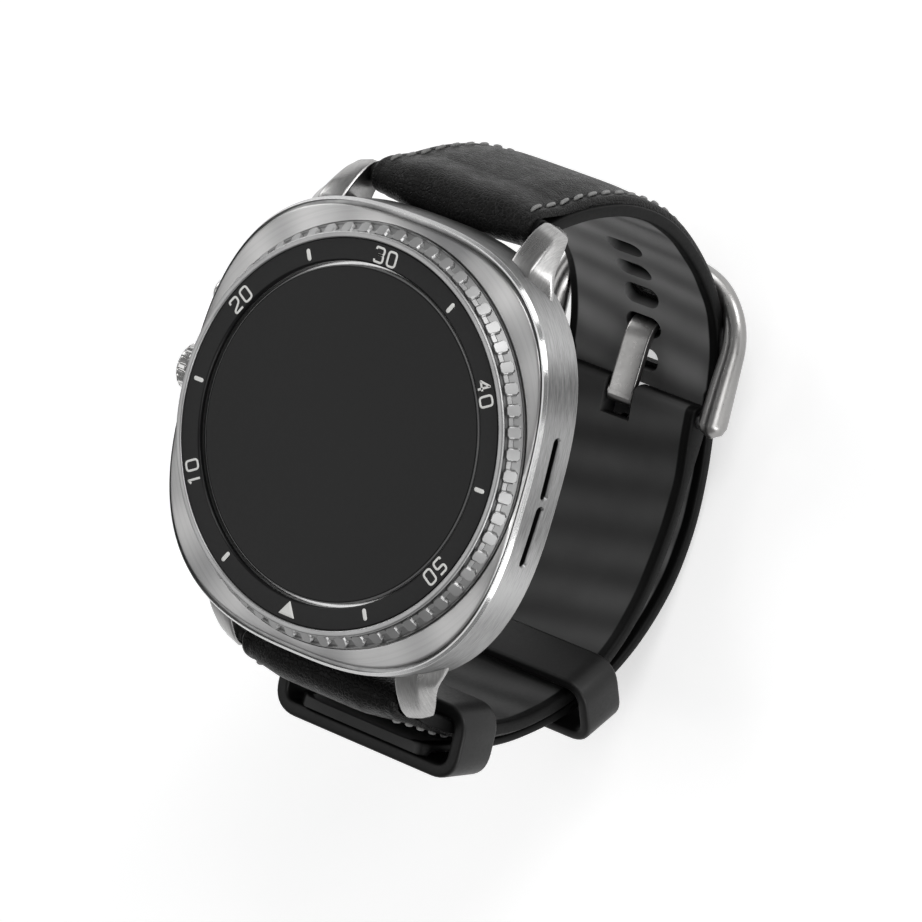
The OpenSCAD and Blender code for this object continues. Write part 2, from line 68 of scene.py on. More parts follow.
# Strap routes as [y, z] centre lines, as in the CAD part
LONG_ROUTE = [
    (-25, 3), (-26.7, -1.2), (-28.1, -7), (-28.5, -13.5), (-27.2, -20.8), (-23.7, -28.1),
    (-18.9, -34.2), (-13.4, -37.6), (-6.5, -39.6), (0, -41.1), (6.4, -41.5), (13, -40.2),
    (19.7, -36.4), (25.2, -30.3), (28.8, -22.2), (30.3, -14.4), (30.8, -5.2)]
SHORT_ROUTE = [
    (25, 3), (26.7, -1.2), (27.9, -7), (28.2, -13.5), (27.1, -20.6), (23.6, -28.6),
    (18.8, -33.4), (13.3, -36), (6.5, -37.3), (0.3, -37.4), (-6.5, -36.4)]
ARM_ROUTE = [(-22.05, -34.15), (-20.8, -35.3), (-18.7, -35.9), (-16, -36.2), (-11, -36.3),
             (-6.5, -36.4)]
TANG_ROUTE = [(-6.1, -35.62), (-9.4, -35.7), (-12.8, -35.8), (-14.4, -36.5), (-15.24, -37.95),
              (-17, -38.5), (-19.8, -37.9), (-22.2, -36.5), (-23.7, -34.7)]
HINGE = (-6.5, -36.4)
STRAP_T = 2.2  # thickness of the long strap
SHORT_T = 1.9
LINING_T = 1.3  # thickness of the rubber in both straps
ROUTE_STEPS = 12  # points between two route points here, and in the CAD
CAD_STEPS = 5
HOLE_START, HOLES = 34, range(-3, 5)  # CAD route point of the tang's hole, and the row round it
HOLE_PITCH, HOLE_STRAIGHT, HOLE_R = 4.0, 1.1, 1.25
WAVE_PITCH, REFLECTION_BAND_PITCH = 6.4, 5.2  # of the shallow waves in the rubber, and of its painted reflection bands
STITCH_PITCH, STITCH_INSET, STITCH_HALF, THREAD_R = 2.35, 1.15, 0.98, 0.2
BORE_R = 0.8  # hole for a spring bar, in the strap's and the tang's eyes


# ---- mesh helpers ----

def link_mesh(name, verts, faces):
    """A new object with the given vertices, in mm, and faces whose normals point out."""
    mesh = bpy.data.meshes.new(name)
    mesh.from_pydata((np.asarray(verts, float) * MM).tolist(), [], faces)
    bm = bmesh.new()
    bm.from_mesh(mesh)
    bmesh.ops.remove_doubles(bm, verts=bm.verts, dist=2e-7)
    bmesh.ops.recalc_face_normals(bm, faces=bm.faces)
    bm.to_mesh(mesh)
    bm.free()
    obj = bpy.data.objects.new(name, mesh)
    bpy.context.scene.collection.objects.link(obj)
    return obj


def boolean(obj, other):
    """Cuts the other object out of this one."""
    modifier = obj.modifiers.new("cut", "BOOLEAN")
    modifier.operation = "DIFFERENCE"
    modifier.solver = "EXACT"
    modifier.object = other
    bpy.context.view_layer.update()
    depsgraph = bpy.context.evaluated_depsgraph_get()
    mesh = bpy.data.meshes.new_from_object(obj.evaluated_get(depsgraph))
    obj.modifiers.clear()
    obj.data = mesh
    bpy.data.objects.remove(other)


def finish_piece(obj, look, body, nodes=(), sharp=38):
    """Smooth shading, look, body and the CAD nodes that the piece stands for."""
    obj.data.shade_smooth()
    obj.data.set_sharp_from_angle(angle=math.radians(sharp))
    obj.data.materials.clear()
    obj.data.materials.append(look.material)
    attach(obj, body)
    if nodes:
        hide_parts(*nodes)


def paint(obj, name, function):
    """Writes a value on every point of a mesh, worked out from the points' places in mm."""
    count = len(obj.data.vertices)
    co = np.zeros(count * 3, np.float32)
    obj.data.vertices.foreach_get("co", co)
    values = function(co.reshape(-1, 3).astype(float) / MM)
    attribute = obj.data.attributes.new(name, "FLOAT", "POINT")
    attribute.data.foreach_set("value", np.asarray(values, np.float32))


def grid_mesh(points, close_rows=False, caps=False):
    """Vertices and faces of a row of closed rings; caps fills the first and the last ring."""
    points = np.asarray(points, float)
    rows, cols = points.shape[:2]
    faces = []
    for i in range(rows if close_rows else rows - 1):
        for j in range(cols):
            i2, j2 = (i + 1) % rows, (j + 1) % cols
            faces.append((i * cols + j, i * cols + j2, i2 * cols + j2, i2 * cols + j))
    if caps:
        faces.append(tuple(range(cols)))
        faces.append(tuple((rows - 1) * cols + j for j in range(cols)))
    return points.reshape(-1, 3), faces


def join_parts(parts):
    """One vertex and face list from several."""
    verts, faces, total = [], [], 0
    for v, f in parts:
        verts.append(np.asarray(v, float))
        faces += [tuple(i + total for i in face) for face in f]
        total += len(v)
    return np.concatenate(verts), faces


def rounded(points, radius, steps=4):
    """A line whose inner corners are turned into short curves of about this radius."""
    p = [np.asarray(q, float) for q in points]
    radii = radius if hasattr(radius, "__len__") else [radius] * len(p)
    out = [p[0]]
    for a, b, c, r in zip(p, p[1:], p[2:], radii[1:]):
        la, lc = np.linalg.norm(a - b), np.linalg.norm(c - b)
        k = min(r, 0.48 * la, 0.48 * lc)
        if k < 1e-4:
            out.append(b)
            continue
        start, end = b + (a - b) * k / la, b + (c - b) * k / lc
        for t in np.linspace(0, 1, steps + 1):
            out.append((1 - t) ** 2 * start + 2 * t * (1 - t) * b + t * t * end)
    out.append(p[-1])
    return np.array(out)


def rounded_loop(points, radius, steps):
    """A closed line with all its corners turned into short curves."""
    p = [np.asarray(q, float) for q in points]
    middle = (p[0] + p[-1]) / 2
    return rounded([middle, *p, middle], radius, steps)[:-1]


def outlined(name, rings, radii):
    """A closed shell through [half width, half length, height, outline power] rings."""
    angles = np.arange(384) / 384 * TAU
    grid = []
    for a, b, z, square in rounded(rings, radii):
        c, s = np.abs(np.cos(angles) / a), np.abs(np.sin(angles) / b)
        grid.append(ring_at((c ** square + s ** square) ** (-1 / square), z, angles))
    return link_mesh(name, *grid_mesh(grid, close_rows=True))


def ring_at(r, z, angles):
    """Points at the given angles round the display's axis."""
    return np.stack([r * np.cos(angles), r * np.sin(angles), np.broadcast_to(z, angles.shape)], -1)


def turn_points(points, angle):
    """Points [x, y] turned about the display's axis."""
    c, s = math.cos(angle), math.sin(angle)
    return [(x * c - y * s, x * s + y * c) for x, y in points]


def spline(points, steps):
    """A smooth line through the points, as the CAD part draws it."""
    p = np.asarray(points, float)
    out = []
    for i in range(len(p) - 1):
        a, b, c, d = p[max(i - 1, 0)], p[i], p[i + 1], p[min(i + 2, len(p) - 1)]
        for k in range(steps):
            t = k / steps
            out.append(0.5 * (2 * b + (c - a) * t + (2 * a - 5 * b + 4 * c - d) * t * t
                              + (3 * b - a - 3 * c + d) * t ** 3))
    out.append(p[-1])
    return np.array(out)


def directions(line, closed=False):
    """Unit vectors along a line."""
    d = np.roll(line, -1, 0) - np.roll(line, 1, 0) if closed else np.gradient(line, axis=0)
    return d / np.linalg.norm(d, axis=1)[:, None]


def normals(line, closed=False):
    """Unit vectors across a line of two coordinates."""
    d = directions(line, closed)
    return np.stack([d[:, 1], -d[:, 0]], -1)


def lengths(line):
    """Length along a line up to each of its points."""
    return np.concatenate([[0], np.cumsum(np.linalg.norm(np.diff(line, axis=0), axis=1))])


def smooth_step(x, low, high):
    """Zero up to low, one from high, and a soft rise between."""
    t = np.clip((x - low) / (high - low), 0, 1)
    return t * t * (3 - 2 * t)


def round_over(d, radius, floor=0):
    """Share of full height at a distance from a rounded edge."""
    return np.sqrt(np.clip(1 - (1 - np.minimum(d / radius, 1)) ** 2, floor, 1))


def lathe(profile, steps, axis="z", centre=(0, 0, 0), closed=False):
    """A surface turned from [radius, height] about an axis through centre."""
    profile = np.asarray(profile, float)
    angles = np.arange(steps) / steps * TAU
    r, h = profile[:, 0][:, None], np.repeat(profile[:, 1][:, None], steps, 1)
    u, v = r * np.cos(angles), r * np.sin(angles)
    grid = np.stack([u, v, h] if axis == "z" else [h, u, v], -1) + np.asarray(centre, float)
    return grid_mesh(grid, close_rows=closed, caps=not closed)


# ---- materials ----

class Look:
    """A node material round one Principled shader; fixed numbers go straight to its sockets."""

    def __init__(self, name, color, roughness, **sockets):
        self.material = bpy.data.materials.new(name)
        self.material.use_nodes = True
        self.tree = self.material.node_tree
        self.shader = self.tree.nodes["Principled BSDF"]
        self.set("Base Color", (*color, 1))
        self.set("Roughness", roughness)
        for key, value in sockets.items():
            self.set(key.replace("_", " "), value)
        self.coords = self.tree.nodes.new("ShaderNodeTexCoord").outputs["Object"]
        self.height = None

    def set(self, socket, value):
        self.shader.inputs[socket].default_value = value

    def node(self, kind, **values):
        node = self.tree.nodes.new(kind)
        for key, value in values.items():
            if hasattr(node, key):
                setattr(node, key, value)
            else:
                node.inputs[key.replace("_", " ")].default_value = value
        return node

    def link(self, a, b):
        self.tree.links.new(a, b)

    def stretched(self, scale):
        """Object coordinates, scaled along each axis."""
        mapping = self.node("ShaderNodeMapping")
        mapping.inputs["Scale"].default_value = scale
        self.link(self.coords, mapping.inputs["Vector"])
        return mapping.outputs["Vector"]

    def radial(self):
        """Coordinates that depend only on the distance from the display's axis and on height."""
        flat = self.stretched((1, 1, 0))
        length = self.node("ShaderNodeVectorMath", operation="LENGTH")
        self.link(flat, length.inputs[0])
        split = self.node("ShaderNodeSeparateXYZ")
        self.link(self.coords, split.inputs[0])
        join = self.node("ShaderNodeCombineXYZ")
        self.link(length.outputs["Value"], join.inputs["X"])
        self.link(split.outputs["Z"], join.inputs["Y"])
        return join.outputs[0]

    def around(self):
        """Coordinates that depend only on the direction from the display's axis."""
        unit = self.node("ShaderNodeVectorMath", operation="NORMALIZE")
        self.link(self.stretched((1, 1, 0)), unit.inputs[0])
        return unit.outputs["Vector"]

    def blend(self, a, b, share):
        """A value between a and b, with this share of b."""
        mix = self.node("ShaderNodeMix", data_type="FLOAT")
        mix.inputs[0].default_value = share
        self.link(a, mix.inputs[2])
        self.link(b, mix.inputs[3])
        return mix.outputs[0]

    def noise(self, scale, vector=None, *, detail, roughness=0.55):
        node = self.node("ShaderNodeTexNoise", Scale=scale, Detail=detail, Roughness=roughness)
        self.link(vector if vector is not None else self.coords, node.inputs["Vector"])
        return node.outputs["Fac"]

    def cell_edges(self, scale):
        """Distance to the nearest edge between leather-like cells."""
        node = self.node("ShaderNodeTexVoronoi", feature="DISTANCE_TO_EDGE", Scale=scale)
        self.link(self.coords, node.inputs["Vector"])
        return node.outputs["Distance"]

    def spread(self, value, low, high, start=0.3, end=0.7):
        """The value's range from start to end, mapped to low to high."""
        node = self.node("ShaderNodeMapRange", From_Min=start, From_Max=end, To_Min=low,
                         To_Max=high)
        self.link(value, node.inputs["Value"])
        return node.outputs["Result"]

    def ramp(self, value, low, high, start, end):
        """A colour between low and high, as the value goes from start to end."""
        node = self.node("ShaderNodeValToRGB")
        for element, place, color in zip(node.color_ramp.elements, (start, end), (low, high)):
            element.position = place
            element.color = (*color, 1)
        self.link(value, node.inputs["Fac"])
        return node.outputs["Color"]

    def vary_color(self, value, low, high, start=0.3, end=0.7):
        color = self.ramp(value, low, high, start, end)
        self.link(color, self.shader.inputs["Base Color"])

    def mask(self, name):
        """A value painted on the mesh's points."""
        return self.node("ShaderNodeAttribute", attribute_name=name).outputs["Fac"]

    def two_tone(self, mask, value, zero, one, start=0.3, end=0.7):
        """Base color between two pairs of greys, picked by a mask and varied by a value."""
        mix = self.node("ShaderNodeMix", data_type="RGBA")
        self.link(mask, mix.inputs[0])
        for (low, high), socket in ((zero, mix.inputs[6]), (one, mix.inputs[7])):
            self.link(self.ramp(value, [low] * 3, [high] * 3, start, end), socket)
        self.link(mix.outputs[2], self.shader.inputs["Base Color"])

    def cover(self, mask, color):
        """Another base color where the mask is one."""
        mix = self.node("ShaderNodeMix", data_type="RGBA")
        base = self.shader.inputs["Base Color"]
        self.link(mask, mix.inputs[0])
        self.link(base.links[0].from_socket, mix.inputs[6])
        mix.inputs[7].default_value = (*color, 1)
        self.link(mix.outputs[2], base)

    def turned(self, amount):
        """Stretches highlights across lines that run round the display's axis."""
        tangent = self.node("ShaderNodeTangent", direction_type="RADIAL", axis="Z")
        self.link(tangent.outputs["Tangent"], self.shader.inputs["Tangent"])
        self.set("Anisotropic", amount)
        self.set("Anisotropic Rotation", 0.25)

    def vary_roughness(self, value, low, high):
        self.link(self.spread(value, low, high), self.shader.inputs["Roughness"])

    def bump(self, value, distance, strength=1.0):
        """Adds one more layer of relief, its depth in mm."""
        node = self.node("ShaderNodeBump", Strength=strength, Distance=distance * MM)
        self.link(value, node.inputs["Height"])
        if self.height is not None:
            self.link(self.height, node.inputs["Normal"])
        self.height = node.outputs["Normal"]
        self.link(self.height, self.shader.inputs["Normal"])
        return self


def shades(color, tone):
    """The color, darker and lighter by this share."""
    return [c * (1 - tone) for c in color], [min(1, c * (1 + tone)) for c in color]


def brushed(name, color, roughness, scale, depth, streak):
    """Metal with fine lines: scale is how fast they change along x, y and z, or None for rings."""
    look = Look(name, color, roughness, Metallic=1.0)
    lines = look.stretched(scale) if scale else look.radial()
    fine = look.noise(1.0 if scale else 9000, lines, detail=4.0, roughness=0.7)
    cloud = look.noise(260, detail=2.0)
    look.vary_color(fine, *shades(color, streak), 0.3, 0.72)
    look.vary_roughness(cloud, roughness * 0.85, roughness * 1.15)
    return look.bump(fine, depth)


def satin(name, color, roughness, grain, depth, tone, **sockets):
    """A plain surface with fine grain, slow changes of tone and light handling marks."""
    look = Look(name, color, roughness, **sockets)
    fine, slow = look.noise(grain, detail=4.0), look.noise(150, detail=2.0)
    look.vary_color(slow, *shades(color, tone))
    look.vary_roughness(fine, roughness * 0.88, roughness * 1.12)
    return look.bump(fine, depth)


def side_look():
    """Steel brushed round the case, with a painted highlight on its narrow edges, painted
    highlights and shade in broad sweeps round it, and painted shade inside the slots.
    """
    look = Look("side_steel", (0.25, 0.248, 0.246), 0.4, Metallic=1.0)
    edge = look.mask("edge")
    fine = look.noise(1.0, look.stretched((500, 500, 9000)), detail=4.0, roughness=0.7)
    # Broad light and dark sweeps round the case: painted highlights and shade
    highlight_sweep = look.noise(3.4, look.around(), detail=0.0)
    # The narrow edges are smoother, and their lighter grey is a painted highlight
    look.two_tone(edge, look.blend(fine, highlight_sweep, 0.6), (0.1, 0.38), (0.5, 0.6), 0.36, 0.64)
    look.link(look.spread(edge, 0.4, 0.2, 0, 1), look.shader.inputs["Roughness"])
    # Near black on the slots' inner walls: painted shade
    look.cover(look.mask("slot"), (0.012, 0.012, 0.012))
    look.turned(0.8)
    return look.bump(fine, 0.005)


def flange_look():
    """Turned steel with broad sweeps of painted highlight and shade round the display's axis."""
    look = Look("flange_steel", (0.4, 0.398, 0.4), 0.34, Metallic=1.0)
    lines = look.noise(9000, look.radial(), detail=3.0, roughness=0.7)
    # Broad light and dark sweeps: painted highlights and shade
    highlight_sweep = look.noise(2.2, look.around(), detail=1.0)
    tone = look.blend(lines, highlight_sweep, 0.88)
    look.vary_color(tone, (0.24, 0.24, 0.242), (0.62, 0.615, 0.61), 0.34, 0.66)
    look.turned(0.85)
    return look.bump(lines, 0.0015)


side_steel = side_look()
lug_steel = brushed("lug_steel", (0.36, 0.357, 0.354), 0.28, (9000, 700, 700), 0.005, 0.22)
flange_steel = flange_look()
buckle_steel = satin("buckle_steel", (0.33, 0.325, 0.32), 0.3, 2600, 0.003, 0.12, Metallic=1.0)
polished_steel = satin("polished_steel", (0.5, 0.495, 0.49), 0.18, 2500, 0.0015, 0.03, Metallic=1.0)
inner_steel = satin("inner_steel", (0.5, 0.5, 0.5), 0.35, 2200, 0.004, 0.05, Metallic=1.0)
dark_steel = satin("dark_steel", (0.2, 0.2, 0.21), 0.4, 2200, 0.004, 0.08, Metallic=1.0)
insert_black = satin("insert_black", (0.004, 0.004, 0.0042), 0.32, 4200, 0.002, 0.1,
                     Specular_IOR_Level=0.22)
mark_white = satin("mark_white", (0.75, 0.75, 0.73), 0.5, 5200, 0.003, 0.04)
seal_rubber = satin("seal_rubber", (0.02, 0.02, 0.02), 0.55, 2600, 0.004, 0.1)
inner_plastic = satin("inner_plastic", (0.06, 0.06, 0.065), 0.5, 1600, 0.006, 0.1)
battery_wrap = satin("battery_wrap", (0.2, 0.21, 0.23), 0.45, 700, 0.01, 0.08)
circuit_green = satin("circuit_green", (0.02, 0.1, 0.05), 0.45, 3000, 0.004, 0.25)
copper = brushed("copper", (0.75, 0.36, 0.2), 0.3, None, 0.004, 0.1)
ceramic = satin("ceramic", (0.7, 0.68, 0.62), 0.4, 2600, 0.003, 0.05)
sensor_black = satin("sensor_black", (0.012, 0.012, 0.014), 0.12, 3000, 0.001, 0.1, Coat_Weight=0.5)
keeper_rubber = satin("keeper_rubber", (0.004, 0.004, 0.004), 0.45, 3200, 0.003, 0.12,
                      Specular_IOR_Level=0.3)


def display_look():
    """Near black glass, with a painted highlight on its chamfered edge."""
    look = Look("display_glass", (0.004, 0.004, 0.0042), 0.2, Specular_IOR_Level=0.18)
    slow, dust = look.noise(40, detail=1.0), look.noise(3500, detail=2.0)
    # The rim mask paints a highlight on the glass's chamfered edge
    look.two_tone(look.mask("rim"), slow, (0.0028, 0.004), (0.3, 0.35))
    look.vary_roughness(dust, 0.18, 0.24)
    return look.bump(dust, 0.0004)


def leather_look():
    """Black leather: fine cells, pores and slow folds."""
    look = Look("strap_leather", (0.004, 0.004, 0.004), 0.5, Specular_IOR_Level=0.15)
    warp = look.noise(700, detail=3.0)
    cells = look.cell_edges(2100)
    pores = look.noise(3800, detail=4.0)
    folds = look.noise(230, look.stretched((1, 2.2, 2.2)), detail=3.0)
    look.vary_color(warp, (0.0022, 0.0022, 0.0022), (0.0048, 0.0046, 0.0044))
    look.vary_roughness(warp, 0.36, 0.52)
    look.bump(look.spread(cells, 0, 1, 0.0, 0.16), 0.06, 1.0)
    look.bump(pores, 0.05, 0.9)
    return look.bump(folds, 0.1, 0.5)


def lining_look():
    """Black rubber, lighter on the face that meets the wrist, with painted reflection bands across
    that face and painted shade on the short strap's face.
    """
    look = Look("lining_rubber", (0.03, 0.03, 0.03), 0.5, Specular_IOR_Level=0.1)
    slow, fine = look.noise(160, detail=2.0), look.noise(2800, detail=4.0)
    look.two_tone(look.mask("wrist_face_tone_and_painted_light"), slow, (0.002, 0.003), (0.18, 0.22))
    look.vary_roughness(fine, 0.44, 0.56)
    return look.bump(fine, 0.004)


def grip_look():
    """Bright teeth with rougher gaps between them, painted dark as shade."""
    look = Look("grip_steel", (0.4, 0.4, 0.4), 0.3, Metallic=1.0)
    fine, slow = look.noise(5200, detail=3.0), look.noise(300, detail=2.0)
    recess_shade = look.mask("recess_shade")
    # The gaps between teeth are painted dark: painted shade
    look.two_tone(recess_shade, slow, (0.36, 0.43), (0.1, 0.14))
    look.link(look.spread(recess_shade, 0.42, 0.5, 0, 1), look.shader.inputs["Roughness"])
    return look.bump(fine, 0.003)


def thread_look():
    """Grey twisted thread."""
    look = Look("strap_thread", (0.2, 0.2, 0.2), 0.6, Sheen_Weight=0.2)
    twist = look.noise(5200, look.stretched((1, 1, 2.5)), detail=2.0)
    look.vary_color(twist, (0.05, 0.05, 0.05), (0.2, 0.2, 0.195))
    look.vary_roughness(twist, 0.5, 0.75)
    return look.bump(twist, 0.03)


display_glass = display_look()
leather = leather_look()
lining_rubber = lining_look()
grip_steel = grip_look()
thread = thread_look()


# ---- case ----

def build_case():
    square, circle = CASE_SQUARE, CIRCLE
    body = outlined("case_body", [
        (14.6, 14.6, 3.1, circle), (14.6, 14.6, 1.9, circle), (17.9, 17.9, 1.9, circle),
        (19.6, 20.2, 1.95, square), (22.05, 22.86, 4.1, square), (22.4, 23.2, 4.42, square),
        (22.5, 23.3, 4.62, square), (22.2, 23.22, 9.42, square), (21.93, 22.93, 9.78, square),
        (21.9, 22.9, 9.98, square), (21.87, 22.85, 9.98, square), (21.87, 22.85, 9.4, square),
        (19, 19, 9.4, circle), (19, 19, 11.3, circle), (16.5, 16.5, 11.3, circle),
        (16.5, 16.5, 9, circle), (18.4, 18.4, 8.9, circle), (18.4, 18.4, 3.1, circle)],
        [0, 0.1, 0.2, 0.5, 0.12, 0.06, 0.06, 0.05, 0.05, 0.02, 0.02, 0.05, *[0.1] * 5, 0])
    for y in (-SLOT_Y, SLOT_Y):
        boolean(body, slot_cutter(y))
    pocket = lathe([(2.9, 21.8), (2.9, 22.2), (3.15, 22.6), (3.3, 24), (0, 24)], 64, "x",
                   (0, 0, SIDE_Z))
    boolean(body, link_mesh("crown_pocket", *pocket))
    pocket = lathe([(1.75, 19.9), (1.75, 22.2), (1.9, 22.5), (1.95, 24)], 48, "x",
                   (0, BUTTON_Y, SIDE_Z))
    boolean(body, link_mesh("button_pocket", *pocket))
    paint(body, "edge", edge_highlight_at)
    paint(body, "slot", slot_at)
    finish_piece(body, side_steel, "case", ["mid_case"])


def edge_highlight_at(co):
    """Where a point is above or below the case's brushed side; these narrow edges are smoother and
    get a painted highlight.
    """
    return np.maximum(smooth_step(co[:, 2], 9.38, 9.44), 1 - smooth_step(co[:, 2], 4.4, 4.6))


def slot_at(co):
    """Where a point is on the inner walls of the slots, which get painted shade."""
    x, y, z = co.T
    beside = (x < -15) * (np.abs(y) < 7) * (np.abs(z - SIDE_Z) < 0.7)
    return smooth_step(x - side_wall(y), 0.17, 0.25) * beside


def side_wall(y):
    """The x of the case's outer wall on the 9 o'clock side, at the height of the slots."""
    return -WALL_X * (1 - np.minimum(np.abs(y) / WALL_Y, 1) ** CASE_SQUARE) ** (1 / CASE_SQUARE)


def oblong(straight, radius):
    """Points round a long hole with round ends; straight is half of its straight part."""
    arc = np.linspace(-math.pi / 2, math.pi / 2, 13)
    right = [(straight + radius * math.cos(t), radius * math.sin(t)) for t in arc]
    return right + [(-a, -b) for a, b in right]


def slot_cutter(y):
    """A rounded slot through the case wall on the 9 o'clock side, its mouth slightly opened."""
    grid = []
    for depth, grow in ((4.8, 0), (0.26, 0), (0.15, 0.04), (0, 0.17), (-0.8, 0.8)):
        loop = oblong((SLOT_L - SLOT_W) / 2, SLOT_W / 2 + grow)
        grid.append([(side_wall(y + a) + depth, y + a, SIDE_Z + b) for a, b in loop])
    return link_mesh("slot_cutter", *grid_mesh(grid, caps=True))


def build_lugs():
    """Four horns, each a loft of five-sided sections from inside the case to its tip."""
    # y and z on top, y and z below, ridge x, outer x, drop from the ridge to the outer edge
    stations = [
        (16.5, 8.1, 16.5, 2.6, 13.6, 17.0, 1.9),
        (19.6, 7.75, 19.6, 2.5, 13.7, 16.3, 1.9),
        (21.6, 7.4, 21.4, 2.3, 13.8, 15.55, 1.9),
        (23.6, 6.2, 23.4, 1.7, 13.8, 14.9, 1.7),
        (25.3, 4.7, 24.8, 1.4, 13.7, 14.4, 1.3),
        (26.0, 3.6, 25.7, 1.6, 13.4, 14.0, 0.9)]
    line = spline(stations, 4)
    parts = []
    for end in (-1, 1):
        for side in (-1, 1):
            grid = []
            for ty, tz, by, bz, ridge, outer, drop in line:
                down = np.array([by - ty, bz - tz])
                down /= np.linalg.norm(down)
                low = np.array([ty, tz]) + down * drop
                under = max(12.6, outer - 0.78 * np.hypot(by - low[0], bz - low[1]))
                section = [(11, ty, tz), (ridge, ty, tz), (outer, low[0], low[1]),
                           (under, by, bz), (11, by, bz)]
                section = rounded_loop(section, [0, 0.35, 0.3, 0.5, 0.6, 0.4, 0], 4)
                slant = 0.5 * smooth_step(ty, 21, 26)
                grid.append([(side * x, end * (y - slant * max(0, x - 12)), z)
                             for x, y, z in section])
            tip = np.array(grid[-1])
            centre = tip.mean(0)
            out = np.array([0, end * 0.8, -0.6])
            for shrink, push in ((0.95, 0.14), (0.84, 0.27), (0.62, 0.38), (0.3, 0.42)):
                grid.append(centre + (tip - centre) * shrink + out * push)
            parts.append(grid_mesh(grid, caps=True))
    lugs = link_mesh("case_lugs", *join_parts(parts))
    finish_piece(lugs, lug_steel, "case", sharp=60)


def build_seat_ring():
    square, circle = CASE_SQUARE, CIRCLE
    ring = outlined("seat_flange", [
        (19.05, 19.05, 9.42, circle), (21.75, 22.4, 9.42, square), (21.75, 22.4, 10.02, square),
        (21.62, 22.26, 10.12, square), (21.62, 21.62, 10.25, circle),
        (21.58, 21.58, 10.05, circle), (19.05, 19.05, 10.05, circle)],
        [0, 0.05, 0.06, 0.1, 0.06, 0.02, 0])
    finish_piece(ring, flange_steel, "case", ["seat_ring"])


# ---- bezel ----

GRIP_TOP, GRIP_FOOT = np.array([20.04, 11.9]), np.array([21.5, 10.46])  # [radius, height]
GRIP_OUT = np.array([0.70, 0.714])  # direction the teeth stand out in
TOOTH_HEIGHT = 0.25
PER_TOOTH = 24  # points round the bezel for each tooth


def band(t, low, high, soft=0.06):
    """One between low and high, falling softly to zero outside."""
    return smooth_step(t, low - soft, low) * (1 - smooth_step(t, high, high + soft))


def tooth_shape(t, phase):
    """How far a point is on a tooth: t runs from the rim to the foot, phase from gap to crest."""
    ends = np.maximum(1 - smooth_step(t, 0.15, 0.25), smooth_step(t, 0.68, 0.85))
    edge = 0.36 + 0.24 * ends
    return smooth_step(phase, edge, edge + 0.09) * band(t, 0.16, 0.84, 0.04)


def recess_shade_at(co):
    """How much painted shade a point of the bezel gets in a gap between teeth."""
    r = np.hypot(co[:, 0], co[:, 1])
    phase = (np.arctan2(co[:, 1], co[:, 0]) / TAU * TOOTH_COUNT) % 1
    phase = np.abs(phase - 0.5) * 2
    side = GRIP_FOOT - GRIP_TOP
    t = ((r - GRIP_TOP[0]) * side[0] + (co[:, 2] - GRIP_TOP[1]) * side[1]) / (side @ side)
    shade_share = band(t, 0.05, 0.18) + 0.4 * band(t, 0.5, 0.95)
    return shade_share * (1 - tooth_shape(t, phase)) * (r > 19.9)


def build_bezel_ring():
    steps = TOOTH_COUNT * PER_TOOTH
    angles = np.arange(steps) / steps * TAU
    phase = np.abs((np.arange(steps) % PER_TOOTH) / PER_TOOTH - 0.5) * 2
    rim = rounded([(19.75, 11.9), (19.75, 12.5), (19.86, 12.64), (20.3, 12.64), (20.44, 12.52),
                   (20.42, 12.36), (20.16, 12.16), (20.04, 11.9)], 0.08, 3)
    grid = [ring_at(r, z, angles) for r, z in rim]
    for t in np.linspace(0.03, 1, 34):
        start = GRIP_TOP + (GRIP_FOOT - GRIP_TOP) * t
        dip = -0.16 * band(t, 0.08, 0.18) - 0.2 * band(t, 0.5, 0.94)
        h = dip + (TOOTH_HEIGHT - dip) * tooth_shape(np.full(steps, t), phase)
        grid.append(ring_at(start[0] + GRIP_OUT[0] * h, start[1] + GRIP_OUT[1] * h, angles))
    for r, z in [(21.5, 10.4), (21.48, 10.28), (21.4, 10.25), (19.05, 10.25), (19.05, 11.45),
                 (17.4, 11.45), (17.4, 11.9)]:
        grid.append(ring_at(r, z, angles))
    ring = link_mesh("bezel_grip", *grid_mesh(grid, close_rows=True))
    paint(ring, "recess_shade", recess_shade_at)
    finish_piece(ring, grip_steel, "bezel", ["bezel_ring"], sharp=50)


def build_insert():
    profile = rounded([(17.45, 12.0), (17.45, 12.38), (17.6, 12.54), (19.66, 12.54),
                       (19.73, 12.46), (19.73, 12.0)], 0.05, 3)
    insert = link_mesh("insert_ring", *lathe(profile, 360, closed=True))
    finish_piece(insert, insert_black, "bezel", ["bezel_insert"])


def ribbon(line, width, z0, z1, closed):
    """A flat stroke of even width along a line of [x, y] points, with a slightly rounded top."""
    line = np.asarray(line, float)
    h = width / 2
    section = [(-h, z0), (-h, z1 - 0.015), (-h + 0.02, z1),
               (h - 0.02, z1), (h, z1 - 0.015), (h, z0)]
    grid = [[(*(p - n * a), z) for a, z in section] for p, n in zip(line, normals(line, closed))]
    return grid_mesh(grid, close_rows=closed, caps=not closed)


DIGITS = {  # strokes on a unit grid, with the radius of their corners, and whether they close
    0: [([(0, 0), (1, 0), (1, 1), (0, 1)], 0.36, True)],
    1: [([(0.28, 0.8), (0.62, 1), (0.62, 0)], 0.05, False)],
    2: [([(0, 0.78), (0, 1), (1, 1), (1, 0.52), (0, 0.2), (0, 0), (1, 0)], 0.3, False)],
    3: [([(0, 0.84), (0, 1), (1, 1), (1, 0.53), (0.3, 0.53)], 0.3, False),
        ([(0.3, 0.53), (1, 0.53), (1, 0), (0, 0), (0, 0.16)], 0.3, False)],
    4: [([(0.74, 0), (0.74, 1), (0, 0.32), (1, 0.32)], 0.04, False)],
    5: [([(0.95, 1), (0, 1), (0, 0.56), (1, 0.56), (1, 0), (0, 0), (0, 0.16)], 0.28, False)]}


